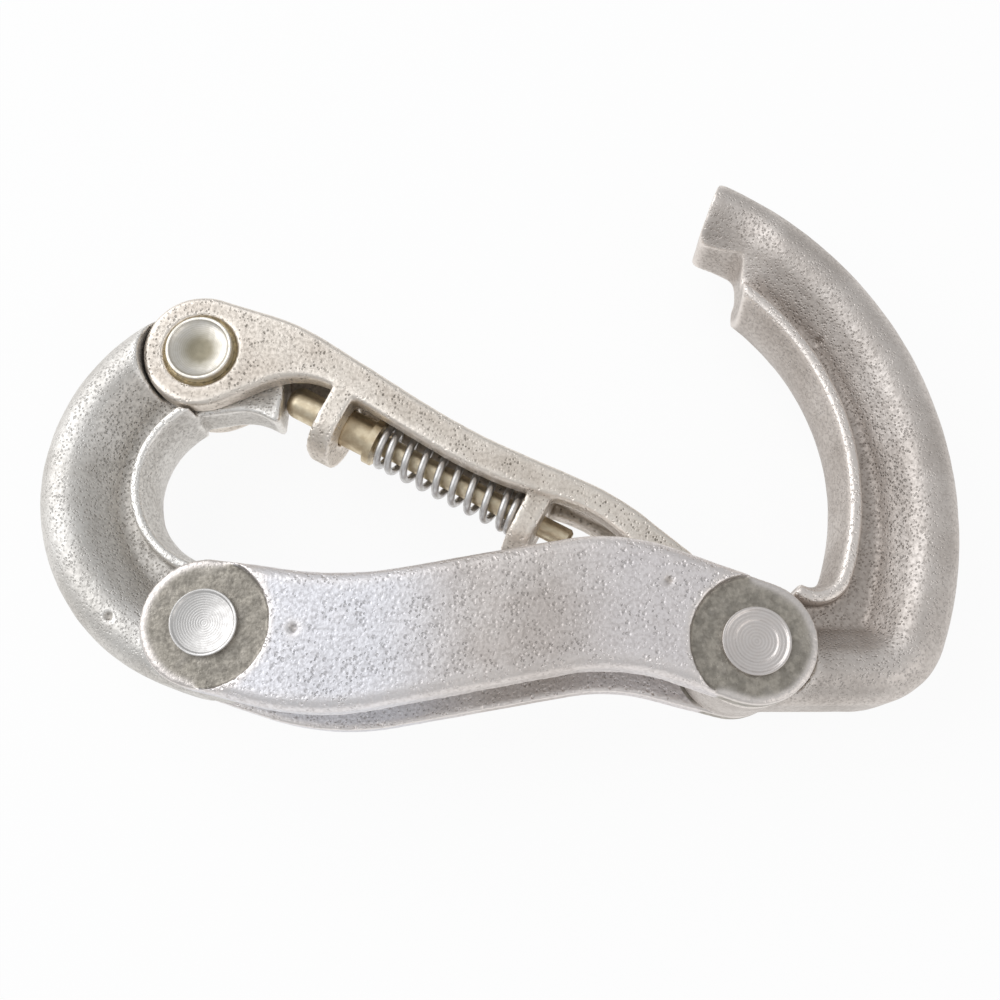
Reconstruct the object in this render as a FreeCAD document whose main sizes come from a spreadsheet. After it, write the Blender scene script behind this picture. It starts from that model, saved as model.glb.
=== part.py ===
import FreeCAD, Part
import math
import os
import re

import Sketcher
from FreeCAD import Placement, Rotation, Vector

# Keychain carabiner: two cast bodies riveted between two spine plates, with a spring-loaded gate.
# Millimetres, +Z up. It lies on its rear spine plate. The origin is on that plate's flat outer
# face, midway between the two spine rivets. Depths are measured from the middle plane, which
# every sub-part shares, and each Placement lifts its sub-part by the middle plane's height.

SIZES = [
    # Spine rivets, and the plates that they hold
    ("bow_rivet_x", -22.1, "left spine rivet"),
    ("bow_rivet_y", 0.8, "left spine rivet"),
    ("hook_rivet_x", 22.1, "right spine rivet"),
    ("hook_rivet_y", -0.8, "right spine rivet"),
    ("plate_gap", 9.0, "between the inner faces of the two plates"),
    ("plate_thickness", 3.5, "middle of a plate"),
    ("end_thickness", 2.5, "plate left under each rivet head"),
    ("bow_end_radius", 5.3, "plate's round end and the tongue beside it, at the bow"),
    ("hook_end_radius", 5.0, "plate's round end and the tongue beside it, at the hook"),
    ("recess_radius", 5.35, "circular recess round a rivet"),
    ("plate_roll", 1.1, "rolled outer edge of a plate"),
    ("dip_x", -11.4, "hollow of a plate's upper edge"),
    ("dip_y", 4.9, "hollow of a plate's upper edge"),
    ("dip_radius", 30.0, "hollow of a plate's upper edge"),
    ("crest_x", 9.9, "crest of a plate's upper edge"),
    ("crest_y", 7.9, "crest of a plate's upper edge"),
    ("crest_radius", 17.0, "crest of a plate's upper edge"),
    ("belly_x", -12.6, "belly of a plate's lower edge"),
    ("belly_y", -6.35, "belly of a plate's lower edge"),
    ("belly_radius", 24.0, "belly of a plate's lower edge"),
    ("waist_x", 10.0, "waist of a plate's lower edge"),
    ("waist_y", -2.88, "waist of a plate's lower edge"),
    ("waist_radius", 17.0, "waist of a plate's lower edge"),
    ("rear_belly_x", -11.9, "belly of the rear plate, which hangs lower"),
    ("rear_belly_y", -6.85, "belly of the rear plate"),
    ("rear_waist_x", 10.6, "waist of the rear plate"),
    ("rear_waist_y", -3.5, "waist of the rear plate"),
    # Rivets
    ("shank_radius", 1.7, "all three rivets"),
    ("hole_clearance", 0.05, "round a shank"),
    ("head_radius", 2.85, "spine rivet head"),
    ("head_height", 0.5, "spine rivet head"),
    ("head_rim", 0.28, "width of the turned rim"),
    ("head_dish", 0.16, "depth of the face inside the rim"),
    ("dimple_radius", 0.5, "turning centre mark"),
    ("dimple_depth", 0.14, "turning centre mark"),
    # Cast limbs and their raised inner lips
    ("limb_depth", 5.2, "half the depth of a cast limb at its ridge"),
    ("rim_roll", 2.6, "outer round of a limb"),
    ("valley_depth", 2.1, "half the depth at the foot of the lip"),
    ("valley_radius", 1.0, "hollow beside the lip"),
    ("lip_depth", 3.9, "half the depth of the lip"),
    ("lip_corner", 0.4, "rounded edges of the lip"),
    ("lip_bulge", 7.2, "radius of the bulging inner wall"),
    # Bow: the crescent-shaped casting
    ("bow_x", -19.96, "centre of the outer edge"),
    ("bow_y", 13.17, "centre of the outer edge"),
    ("bow_radius", 18.0, "outer edge"),
    ("bow_valley", 7.1, "from the outer edge to the valley"),
    ("bow_web", 10.8, "width of the swept limb"),
    ("bow_start", 112.0, "direction of the limb's upper end"),
    ("bow_end", 259.0, "direction of the limb's lower end"),
    ("eye_x", -21.75, "centre of the eye inside the bow"),
    ("eye_y", 13.5, "centre of the eye inside the bow"),
    ("eye_radius", 6.9, "inner wall of the lip"),
    ("eye_lip_width", 1.5, "from the lip's outer wall to its bulging inner wall"),
    ("eye_lip_face", 0.95, "width of the lip's flat face"),
    ("eye_start", 118.0, "direction of the lip's upper end"),
    ("eye_end", 262.0, "direction of the lip's lower end"),
    # Hook: the casting with the nose
    ("hook_x", 6.66, "centre of the outer edge"),
    ("hook_y", 11.39, "centre of the outer edge"),
    ("hook_radius", 33.9, "outer edge"),
    ("hook_valley", 7.0, "from the outer edge to the valley"),
    ("hook_web", 10.4, "width of the swept limb"),
    ("hook_start", -21.35, "direction where the outer edge meets the lower corner"),
    ("hook_end", 68.0, "direction of the swept limb's upper end, cut away by the nose's face"),
    ("corner_radius", 7.14, "outer lower corner"),
    ("bight_x", 8.3, "centre of the bight inside the hook"),
    ("bight_y", 13.15, "centre of the bight inside the hook"),
    ("bight_wall", 11.65, "from the radius of the outer edge to that of the lip's inner wall"),
    ("bight_lip_width", 1.9, "from the lip's outer wall to its bulging inner wall"),
    ("bight_lip_face", 1.15, "width of the lip's flat face"),
    ("loop_radius", 3.1, "outside of the lip where it curls to the plates"),
    ("loop_start", -20.0, "direction where the lip starts to curl"),
    ("loop_turn", 112.0, "how far the lip curls"),
    ("foot_left", 24.0, "left end of the hook's foot, inside the plates"),
    ("foot_web", 9.0, "height of the hook's foot"),
    ("notch_left", 5.0, "left side of the cut that makes the nose and the notch"),
    ("notch_top", 48.0, "top of the cut that makes the nose and the notch"),
    ("nose_top_x", 24.25, "where the line of the nose's end face meets the top of the cut"),
    ("nose_x", 20.7, "rounded lower corner of the nose"),
    ("nose_y", 36.83, "rounded lower corner of the nose"),
    ("nose_radius", 0.9, "rounded lower corner of the nose"),
    ("notch_x", 22.75, "notch: rounded inner corner"),
    ("notch_y", 34.3, "notch: rounded inner corner"),
    ("notch_radius", 0.8, "notch: rounded inner corner"),
    ("lip_end_x", 23.0, "notch: lower end of the lip's end face"),
    ("lip_end_y", 27.5, "notch: lower end of the lip's end face"),
    # Clearances
    ("tongue_clearance", 0.1, "between a tongue and the walls beside it"),
    ("shoulder_clearance", 0.2, "round the plate ends and the gate's boss"),
    # Gate, in its own frame: pivot at the origin, first axis towards the free end
    ("gate_x", -24.7, "pivot"),
    ("gate_y", 25.45, "pivot"),
    ("gate_angle", -28.0, "direction of the gate as it stands open"),
    ("boss_radius", 5.1, "round end of the gate"),
    ("gate_depth", 4.2, "half the gate's depth at the pivot"),
    ("gate_tip_depth", 3.5, "half the gate's depth at its free end"),
    ("taper_start", 6.0, "where the depth starts to fall"),
    ("taper_end", 41.0, "where the depth stops falling"),
    ("gate_edge", 0.45, "rounded edges of the gate"),
    ("hump_x", 7.3, "outer edge over the pivot end"),
    ("hump_y", 6.15, "outer edge over the pivot end"),
    ("hump_radius", 20.0, "outer edge over the pivot end"),
    ("saddle_x", 25.5, "hollow of the outer edge"),
    ("saddle_y", 4.72, "hollow of the outer edge"),
    ("saddle_radius", 60.0, "hollow of the outer edge"),
    ("shoulder_back", 10.5, "outer edge over the free end, back from the gate's nose"),
    ("shoulder_y", 5.22, "outer edge over the free end"),
    ("shoulder_radius", 24.0, "outer edge over the free end"),
    ("nose_clearance", 1.27, "from the closed gate's nose to the middle of the notch's corner"),
    ("gate_nose_y", 2.4, "middle of the gate's nose"),
    ("gate_nose_radius", 1.4, "gate's nose"),
    ("window_back", 10.5, "lower edge behind the second lug, back from the gate's nose"),
    ("window_y", 2.9, "lower edge behind the second lug"),
    ("window_radius", 12.0, "lower edge behind the second lug"),
    ("sag_x", 25.5, "lower edge between the lugs"),
    ("sag_y", 1.68, "lower edge between the lugs"),
    ("sag_radius", 36.0, "lower edge between the lugs"),
    ("arch_x", 11.8, "arch over the cam"),
    ("arch_y", 2.55, "arch over the cam"),
    ("arch_radius", 6.69, "arch over the cam"),
    ("slot_start", 3.8, "where the web along the outer edge begins"),
    ("nose_block", 5.0, "solid end of the gate, past the channel"),
    ("web_over_cam", 4.65, "underside of the web over the cam"),
    ("web_over_spring", 3.2, "underside of the web over the spring"),
    ("web_over_window", 3.55, "underside of the web behind the second lug"),
    ("counterbore_radius", 3.3, "seat of the pivot rivet's head"),
    ("counterbore_depth", 0.5, "seat of the pivot rivet's head"),
    ("lug_one", 12.0, "start of the first lug"),
    ("lug_two", 31.4, "start of the second lug"),
    ("lug_thickness", 2.1, "both lugs"),
    ("lug_drop", 3.85, "lower end of a lug, from the plunger's axis"),
    ("lug_round", 3.3, "rounded lower corners of a lug"),
    # Pivot rivet
    ("pivot_head_radius", 3.0, "head of the pivot rivet"),
    ("pivot_head_height", 1.0, "head of the pivot rivet"),
    ("cup_radius", 2.45, "cup in the head"),
    ("cup_depth", 0.6, "cup in the head"),
    # Tongue and cam on the bow, from the pivot
    ("tongue_depth", 2.05, "half the thickness of the tongue in the gate"),
    ("tongue_radius", 5.0, "tongue round the pivot"),
    ("cam_x", -0.452, "centre of the cam face"),
    ("cam_y", -2.561, "centre of the cam face"),
    ("cam_radius", 7.57, "cam face"),
    ("cam_top_x", 5.2, "upper end of the cam face"),
    ("cam_top_y", 2.55, "upper end of the cam face"),
    ("beak_x", 6.5, "middle of the beak's rounded tip"),
    ("beak_y", -5.6, "middle of the beak's rounded tip"),
    ("beak_radius", 0.35, "beak's rounded tip"),
    ("brow_x", 3.4, "hollow under the beak"),
    ("brow_y", -4.95, "hollow under the beak"),
    ("brow_radius", 4.8, "hollow under the beak"),
    ("root_x", -7.4, "where the tongue ends inside the limb"),
    ("root_low", -6.4, "where the tongue ends inside the limb"),
    ("root_high", 1.9, "where the tongue ends inside the limb"),
    # Plunger and spring, in the gate's frame
    ("plunger_offset", 0.75, "axis above the pivot"),
    ("plunger_tip", 7.95, "front of the plunger"),
    ("tip_flat", 0.35, "radius of the flat on the front"),
    ("tip_round", 1.1, "rounding of the front"),
    ("barrel_start", 12.6, "step from the front to the barrel"),
    ("barrel_radius", 1.7, "barrel in the first lug"),
    ("collar_start", 16.5, "front of the collar"),
    ("collar_radius", 2.15, "collar"),
    ("collar_width", 0.7, "collar"),
    ("rod_radius", 0.95, "rod through the spring and the second lug"),
    ("rod_reach", 2.8, "rod past the second lug"),
    ("rod_chamfer", 0.25, "end of the rod"),
    ("slide_clearance", 0.08, "round the plunger in its lugs"),
    ("wire_radius", 0.34, "spring wire"),
    ("coil_radius", 1.78, "to the middle of the wire"),
    ("coil_turns", 9.5, "all turns"),
    ("closed_turns", 1.0, "closed turns at each end"),
    ("seat_clearance", 0.05, "between the spring and what it bears on"),
]

LEFT = 1
RIGHT = -1
FRONT = 1
REAR = -1

doc = FreeCAD.newDocument("keychain_carabiner")
sheet = doc.addObject("Spreadsheet::Sheet", "Sizes")
for row, (alias, number, note) in enumerate(SIZES, start=1):
    sheet.set(f"A{row}", alias)
    sheet.set(f"B{row}", str(number))
    sheet.set(f"C{row}", note)
    sheet.setAlias(f"B{row}", alias)
doc.recompute()

ALIASES = {alias for alias, number, note in SIZES}
LIFT = "plate_gap / 2 + plate_thickness"
# Lengths that follow from the sizes: a cut right through a limb, the inner wall of the bight's
# lip, and the gate from its pivot to its nose, which closes into the notch
THROUGH = "4 * limb_depth"
BIGHT_RADIUS = "(hook_radius - bight_wall)"
GATE_LENGTH = "(sqrt((notch_x - gate_x) ^ 2 + (notch_y - gate_y) ^ 2) - nose_clearance)"


def bound(formula):
    """The formula with the name of each size pointed at the sheet."""
    def point(word):
        return f"Sizes.{word.group()}" if word.group() in ALIASES else word.group()

    return re.sub(r"[a-z_]+", point, str(formula))


def value(formula):
    return float(sheet.evalExpression(bound(formula)))


def at(x, y, z, axis="0; 0; 1", angle=0):
    """A Placement as a formula."""
    return bound(f"placement(vector({x}; {y}; {z}); rotation(vector({axis}); {angle}))")


# Bodies, sketches and features

def new_body(name, x=0, y=0, angle=0):
    body = doc.addObject("PartDesign::Body", name)
    body.Label = name
    body.setExpression("Placement", at(x, y, LIFT, angle=angle))
    return body


def new_sketch(body, name, role, x=0, y=0, z=0, axis="0; 0; 1", angle=0):
    sketch = body.newObject("Sketcher::SketchObject", name)
    plane = next(item for item in body.Origin.OriginFeatures if item.Role == role)
    sketch.AttachmentSupport = [(plane, "")]
    sketch.MapMode = "FlatFace"
    sketch.setExpression("AttachmentOffset", at(x, y, z, axis, angle))
    return sketch


def plan_sketch(body, name, x=0, y=0, z=0):
    """Seen from above: first axis X, second axis Y."""
    return new_sketch(body, name, "XY_Plane", x, y, z)


def section_sketch(body, name, x=0, y=0, angle=0):
    """An upright section through (x, y): first axis outwards at the angle, second axis Z."""
    return new_sketch(body, name, "XZ_Plane", x, 0, f"-({y})", "0; 1; 0", angle)


def cross_sketch(body, name, x=0, y=0):
    """A section across X: first axis Y, second axis Z."""
    return new_sketch(body, name, "YZ_Plane", y, 0, x)


def belt(sketch, stops):
    """Closes an outline like a belt round wheels.

    A stop is (x, y) for a sharp corner or (x, y, radius, LEFT or RIGHT) for an arc, named for
    the way in which the belt turns there. The runs between the stops touch the arcs.
    """
    wheels = []
    for stop in stops:
        x, y = value(stop[0]), value(stop[1])
        radius, turn = (value(stop[2]), stop[3]) if len(stop) > 2 else (0.0, LEFT)
        wheels.append((Vector(x, y, 0), radius, turn))
    count = len(wheels)
    headings = []
    for index, (centre, radius, turn) in enumerate(wheels):
        next_centre, next_radius, next_turn = wheels[(index + 1) % count]
        span = next_centre - centre
        lean = math.asin((next_turn * next_radius - turn * radius) / span.Length)
        headings.append(math.atan2(span.y, span.x) - lean)

    def touch(wheel, heading):
        centre, radius, turn = wheel
        return centre + Vector(math.sin(heading), -math.cos(heading), 0) * radius * turn

    runs = []
    for index, heading in enumerate(headings):
        start = touch(wheels[index], heading)
        end = touch(wheels[(index + 1) % count], heading)
        runs.append(Part.LineSegment(start, end))
    first = sketch.addGeometry(runs, False)[0]
    constraints = []
    formulas = []

    def measure(kind, *where, formula):
        formulas.append((len(constraints), formula))
        constraints.append(Sketcher.Constraint(kind, *where, value(formula)))

    for index, stop in enumerate(stops):
        run_in = first + (index - 1) % count
        run_out = first + index
        centre, radius, turn = wheels[index]
        if radius == 0.0:
            constraints.append(Sketcher.Constraint("Coincident", run_in, 2, run_out, 1))
            measure("DistanceX", run_out, 1, formula=stop[0])
            measure("DistanceY", run_out, 1, formula=stop[1])
            continue
        side = math.pi / 2 * turn
        ends = [headings[index - 1] - side, headings[index] - side]
        start, end = ends if turn == LEFT else reversed(ends)
        end = start + (end - start) % (2 * math.pi)
        circle = Part.Circle(centre, Vector(0, 0, 1), radius)
        arc = sketch.addGeometry(Part.ArcOfCircle(circle, start, end), False)
        entry, leave = (1, 2) if turn == LEFT else (2, 1)
        constraints.append(Sketcher.Constraint("Tangent", run_in, 2, arc, entry))
        constraints.append(Sketcher.Constraint("Tangent", run_out, 1, arc, leave))
        measure("DistanceX", arc, 3, formula=stop[0])
        measure("DistanceY", arc, 3, formula=stop[1])
        measure("Radius", arc, formula=stop[2])
    sketch.addConstraint(constraints)
    for number, formula in formulas:
        sketch.setExpression(f"Constraints[{number}]", bound(formula))


def circle(sketch, x, y, radius):
    ring = sketch.addGeometry(Part.Circle(Vector(value(x), value(y), 0), Vector(0, 0, 1), value(radius)))
    for kind, where, formula in (("DistanceX", (3,), x), ("DistanceY", (3,), y), ("Radius", (), radius)):
        number = sketch.addConstraint(Sketcher.Constraint(kind, ring, *where, value(formula)))
        sketch.setExpression(f"Constraints[{number}]", bound(formula))


def feature(body, kind, sketch, name):
    item = body.newObject(f"PartDesign::{kind}", name)
    item.Profile = sketch
    item.Refine = True
    sketch.Visibility = False
    return item


def pad(body, sketch, length, both_ways=False, towards_rear=False):
    item = feature(body, "Pad", sketch, f"{sketch.Name}_pad")
    item.SideType = "Symmetric" if both_ways else "One side"
    item.Reversed = towards_rear
    item.setExpression("Length", bound(length))
    return item


def pocket(body, sketch, length, both_ways=False):
    item = feature(body, "Pocket", sketch, f"{sketch.Name}_pocket")
    item.SideType = "Symmetric" if both_ways else "One side"
    item.setExpression("Length", bound(length))
    return item


def turned(body, sketch, kind="Revolution", angle=360, axis="V_Axis"):
    item = feature(body, kind, sketch, f"{sketch.Name}_turned")
    item.ReferenceAxis = (sketch, [axis])
    item.setExpression("Angle", bound(angle))
    return item


def mirrored(upper):
    """The stops of an upper half, then the same below the middle plane in reverse order."""
    lower = [(stop[0], f"-({stop[1]})", *stop[2:]) for stop in reversed(upper)]
    return upper + lower


def rivet_seat(body, name, x, y, radius, floor, thickness):
    """Cuts a rivet hole, and a round seat on both faces down to the floor."""
    bore = "shank_radius + hole_clearance"
    top = f"{floor} + {thickness}"
    sketch = section_sketch(body, name, x, y)
    belt(sketch, [("0", f"-({top})"), (radius, f"-({top})"), (radius, f"-({floor})"),
                  (bore, f"-({floor})"), (bore, floor), (radius, floor), (radius, top), ("0", top)])
    return turned(body, sketch, "Groove")


# Spine plates

def plate(name, side, belly, waist):
    """An S-shaped plate with round ends, in front of the middle plane or behind it."""
    body = new_body(name)
    inner = f"{side} * plate_gap / 2"
    outline = plan_sketch(body, f"{name}_outline", z=inner)
    belt(outline, [
        ("bow_rivet_x", "bow_rivet_y", "bow_end_radius", LEFT),
        (f"{belly}_x", f"{belly}_y + belly_radius", "belly_radius", LEFT),
        (f"{waist}_x", f"{waist}_y - waist_radius", "waist_radius", RIGHT),
        ("hook_rivet_x", "hook_rivet_y", "hook_end_radius", LEFT),
        ("crest_x", "crest_y - crest_radius", "crest_radius", LEFT),
        ("dip_x", "dip_y + dip_radius", "dip_radius", RIGHT),
    ])
    slab = pad(body, outline, "plate_thickness", towards_rear=side == REAR)
    doc.recompute()
    outer = side * value(LIFT)
    rim = [f"Edge{number}" for number, edge in enumerate(slab.Shape.Edges, start=1)
           if all(abs(point.Z - outer) < 1e-6 for point in edge.Vertexes)]
    roll = body.newObject("PartDesign::Fillet", f"{name}_roll")
    roll.Base = (slab, rim)
    roll.setExpression("Radius", bound("plate_roll"))
    for end in ("bow", "hook"):
        low = f"{side} * (plate_gap / 2 - end_thickness)"
        floor = f"{side} * (plate_gap / 2 + end_thickness)"
        top = f"{side} * (plate_gap / 2 + 2 * plate_thickness)"
        bore = "shank_radius + hole_clearance"
        sketch = section_sketch(body, f"{name}_{end}_seat", f"{end}_rivet_x", f"{end}_rivet_y")
        belt(sketch, [("0", low), (bore, low), (bore, floor), ("recess_radius", floor),
                      ("recess_radius", top), ("0", top)])
        turned(body, sketch, "Groove")
    return body


# Cast bodies

def lip_outline(sketch, inner, width, face):
    """Section of the raised lip, whose bulging inner wall stands at the given radius."""
    corner = "lip_depth - lip_corner"
    upper = [
        (f"{inner} + {width} - lip_corner", corner, "lip_corner", LEFT),
        (f"{inner} + {width} - {face} + lip_corner", corner, "lip_corner", LEFT),
    ]
    bulge = (f"{inner} + lip_bulge", "0", "lip_bulge", LEFT)
    stops = mirrored(upper)
    belt(sketch, stops[:2] + [bulge] + stops[2:])


def limb_outline(sketch, radius, valley, web):
    """Section of a limb: rounded rim, ridge, and a slope down to the valley beside the lip."""
    belt(sketch, mirrored([
        (f"{radius} - rim_roll", "limb_depth - rim_roll", "rim_roll", LEFT),
        (f"{radius} - {valley}", "valley_depth + valley_radius", "valley_radius", RIGHT),
        (f"{radius} - ({web})", "valley_depth"),
    ]))


def bow_body():
    body = new_body("bow_body")
    limb = section_sketch(body, "bow_limb", "bow_x", "bow_y", "bow_start")
    limb_outline(limb, "bow_radius", "bow_valley", "bow_web")
    turned(body, limb, angle="bow_end - bow_start")

    eye = plan_sketch(body, "bow_eye", "eye_x", "eye_y")
    circle(eye, 0, 0, "eye_radius + eye_lip_width - eye_lip_face")
    pocket(body, eye, THROUGH, both_ways=True)

    lip = section_sketch(body, "bow_lip", "eye_x", "eye_y", "eye_start")
    lip_outline(lip, "eye_radius", "eye_lip_width", "eye_lip_face")
    turned(body, lip, angle="eye_end - eye_start")

    foot = plan_sketch(body, "bow_foot", "bow_rivet_x", "bow_rivet_y")
    circle(foot, 0, 0, "bow_end_radius")
    pad(body, foot, "plate_gap - 2 * tongue_clearance", both_ways=True)

    tongue = plan_sketch(body, "bow_tongue", "gate_x", "gate_y")
    belt(tongue, [
        ("root_x", "root_low"),
        ("brow_x", "brow_y - brow_radius", "brow_radius", RIGHT),
        ("beak_x", "beak_y", "beak_radius", LEFT),
        ("cam_x", "cam_y", "cam_radius", LEFT),
        ("cam_top_x", "cam_top_y"),
        ("0", "0", "tongue_radius", LEFT),
        ("root_x", "root_high"),
    ])
    pad(body, tongue, "2 * tongue_depth", both_ways=True)

    rivet_seat(body, "bow_gate_seat", "gate_x", "gate_y", "boss_radius + shoulder_clearance",
               "tongue_depth", "limb_depth")
    rivet_seat(body, "bow_plate_seat", "bow_rivet_x", "bow_rivet_y",
               "bow_end_radius + shoulder_clearance", "(plate_gap / 2 - tongue_clearance)", "limb_depth")
    return body


def hook_body():
    body = new_body("hook_body")
    limb = section_sketch(body, "hook_limb", "hook_x", "hook_y", "hook_start")
    limb_outline(limb, "hook_radius", "hook_valley", "hook_web")
    turned(body, limb, angle="hook_end - hook_start")

    bight = plan_sketch(body, "hook_bight", "bight_x", "bight_y")
    circle(bight, 0, 0, f"{BIGHT_RADIUS} + bight_lip_width - bight_lip_face")
    pocket(body, bight, THROUGH, both_ways=True)

    reach = "(hook_radius - corner_radius)"
    corner_x = f"hook_x + {reach} * cos(hook_start)"
    corner_y = f"hook_y + {reach} * sin(hook_start)"
    corner = section_sketch(body, "hook_corner", corner_x, corner_y, -90)
    belt(corner, mirrored([
        ("corner_radius - rim_roll", "limb_depth - rim_roll", "rim_roll", LEFT),
        ("corner_radius - hook_valley", "valley_depth + valley_radius", "valley_radius", RIGHT),
        ("0", "valley_depth"),
    ]))
    turned(body, corner, angle="90 + hook_start")

    foot = cross_sketch(body, "hook_foot", corner_x, corner_y)
    rim = "-(corner_radius - rim_roll)"
    ridge = "limb_depth - rim_roll"
    hollow = "hook_valley - corner_radius"
    inside = "foot_web - corner_radius"
    floor = "valley_depth + valley_radius"
    belt(foot, [
        (rim, ridge, "rim_roll", LEFT),
        (rim, f"-({ridge})", "rim_roll", LEFT),
        (hollow, f"-({floor})", "valley_radius", RIGHT),
        (inside, "-valley_depth"),
        (inside, "valley_depth"),
        (hollow, floor, "valley_radius", RIGHT),
    ])
    pad(body, foot, f"{corner_x} - foot_left", towards_rear=True)

    tongue = plan_sketch(body, "hook_tongue", "hook_rivet_x", "hook_rivet_y")
    circle(tongue, 0, 0, "hook_end_radius")
    pad(body, tongue, "plate_gap - 2 * tongue_clearance", both_ways=True)

    lip = section_sketch(body, "hook_lip", "bight_x", "bight_y", "loop_start")
    lip_outline(lip, BIGHT_RADIUS, "bight_lip_width", "bight_lip_face")
    turned(body, lip, angle="hook_end - loop_start")

    arm = f"({BIGHT_RADIUS} + bight_lip_width - loop_radius)"
    loop_x = f"bight_x + {arm} * cos(loop_start)"
    loop_y = f"bight_y + {arm} * sin(loop_start)"
    loop = section_sketch(body, "hook_loop", loop_x, loop_y, "loop_start - loop_turn")
    lip_outline(loop, "loop_radius - bight_lip_width", "bight_lip_width", "bight_lip_face")
    turned(body, loop, angle="loop_turn")

    notch = plan_sketch(body, "hook_notch")
    belt(notch, [
        ("notch_left", "lip_end_y"),
        ("lip_end_x", "lip_end_y"),
        ("notch_x", "notch_y", "notch_radius", LEFT),
        ("nose_x", "nose_y", "nose_radius", RIGHT),
        ("nose_top_x", "notch_top"),
        ("notch_left", "notch_top"),
    ])
    pocket(body, notch, THROUGH, both_ways=True)
    rivet_seat(body, "hook_plate_seat", "hook_rivet_x", "hook_rivet_y",
               "hook_end_radius + shoulder_clearance", "(plate_gap / 2 - tongue_clearance)", "limb_depth")
    return body


# Gate

def gate():
    body = new_body("gate", "gate_x", "gate_y", "gate_angle")
    outline = plan_sketch(body, "gate_outline")
    belt(outline, [
        ("0", "0", "boss_radius", LEFT),
        ("arch_x", "arch_y - arch_radius", "arch_radius", RIGHT),
        ("sag_x", "sag_y + sag_radius", "sag_radius", LEFT),
        (f"{GATE_LENGTH} - window_back", "window_y - window_radius", "window_radius", RIGHT),
        (f"{GATE_LENGTH} - gate_nose_radius", "gate_nose_y", "gate_nose_radius", LEFT),
        (f"{GATE_LENGTH} - shoulder_back", "shoulder_y - shoulder_radius", "shoulder_radius", LEFT),
        ("saddle_x", "saddle_y + saddle_radius", "saddle_radius", RIGHT),
        ("hump_x", "hump_y - hump_radius", "hump_radius", LEFT),
    ])
    pad(body, outline, "2 * gate_depth", both_ways=True)

    taper = section_sketch(body, "gate_taper")
    for sign, order in ((1, 1), (-1, -1)):
        belt(taper, [
            ("taper_start", f"{sign} * gate_depth"),
            ("taper_end", f"{sign} * gate_tip_depth"),
            (f"2 * {GATE_LENGTH}",f"{sign} * gate_tip_depth"),
            (f"2 * {GATE_LENGTH}",f"{sign} * 2 * gate_depth"),
            ("taper_start", f"{sign} * 2 * gate_depth"),
        ][::order])
    thinned = pocket(body, taper, THROUGH, both_ways=True)
    doc.recompute()
    faces = [face for face in thinned.Shape.Faces if abs(face.normalAt(0, 0).z) > 0.9]
    rim = [f"Edge{number}" for number, edge in enumerate(thinned.Shape.Edges, start=1)
           if sum(any(edge.isSame(side) for side in face.Edges) for face in faces) == 1]
    rounded = body.newObject("PartDesign::Fillet", "gate_edges")
    rounded.Base = (thinned, rim)
    rounded.setExpression("Radius", bound("gate_edge"))

    far = "-(2 * boss_radius)"
    inside_lug_one = "lug_one + lug_thickness / 2"
    inside_lug_two = "lug_two + lug_thickness / 2"
    slot_end = f"{GATE_LENGTH} - nose_block"
    slot = plan_sketch(body, "gate_slot")
    belt(slot, [
        (far, far), (slot_end, far), (slot_end, "web_over_window"),
        (inside_lug_two, "web_over_window"), (inside_lug_two, "web_over_spring"),
        (inside_lug_one, "web_over_spring"), (inside_lug_one, "web_over_cam"),
        ("slot_start", "web_over_cam"), ("slot_start", "2 * boss_radius"), (far, "2 * boss_radius"),
    ])
    pocket(body, slot, "2 * (tongue_depth + tongue_clearance)", both_ways=True)

    slope = "(gate_depth - gate_tip_depth) / (taper_end - taper_start)"
    for name, start, bore in (("lug_one", "lug_one", "barrel_radius"), ("lug_two", "lug_two", "rod_radius")):
        lug = cross_sketch(body, f"gate_{name}", start, "plunger_offset")
        depth = f"(gate_depth - {slope} * ({start} + lug_thickness - taper_start))"
        low = "lug_round - lug_drop"
        side = f"{depth} - lug_round"
        top = "web_over_window - plunger_offset"
        belt(lug, [
            (top, f"-{depth}"), (top, depth),
            (low, side, "lug_round", LEFT), (low, f"-({side})", "lug_round", LEFT),
        ])
        pad(body, lug, "lug_thickness")
        hole = cross_sketch(body, f"gate_{name}_bore", f"{start} + lug_thickness", "plunger_offset")
        circle(hole, 0, 0, f"{bore} + slide_clearance")
        pocket(body, hole, "lug_thickness")

    rivet_seat(body, "gate_rivet_seat", 0, 0, "counterbore_radius",
               "(gate_depth - counterbore_depth)", "gate_depth")
    return body


# Rivets, plunger and spring

def spine_rivet(name, x, y):
    """Shank and two turned heads, each with a rim, a dished face and a centre mark."""
    body = new_body(name, x, y)
    seat = "plate_gap / 2 + end_thickness"
    top = f"{seat} + head_height"
    face = f"{top} - head_dish"
    section = section_sketch(body, f"{name}_section")
    belt(section, mirrored([
        ("shank_radius", seat), ("head_radius", seat), ("head_radius", top),
        ("head_radius - head_rim", top), ("head_radius - head_rim - head_dish", face),
        ("dimple_radius", face), ("0", f"{face} - dimple_depth"),
    ]))
    turned(body, section)
    return body


def gate_rivet():
    """Shank and two heads cupped by a spherical cutter, seated in the gate's counterbores."""
    body = new_body("gate_rivet", "gate_x", "gate_y")
    seat = "gate_depth - counterbore_depth + hole_clearance"
    top = f"{seat} + pivot_head_height"
    section = section_sketch(body, "gate_rivet_section")
    belt(section, mirrored([
        ("shank_radius", seat), ("pivot_head_radius", seat), ("pivot_head_radius", top),
        ("cup_radius", top), ("cup_radius / 2", f"{top} - 0.8 * cup_depth"),
        ("0", f"{top} - cup_depth"),
    ]))
    turned(body, section)
    return body


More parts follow.
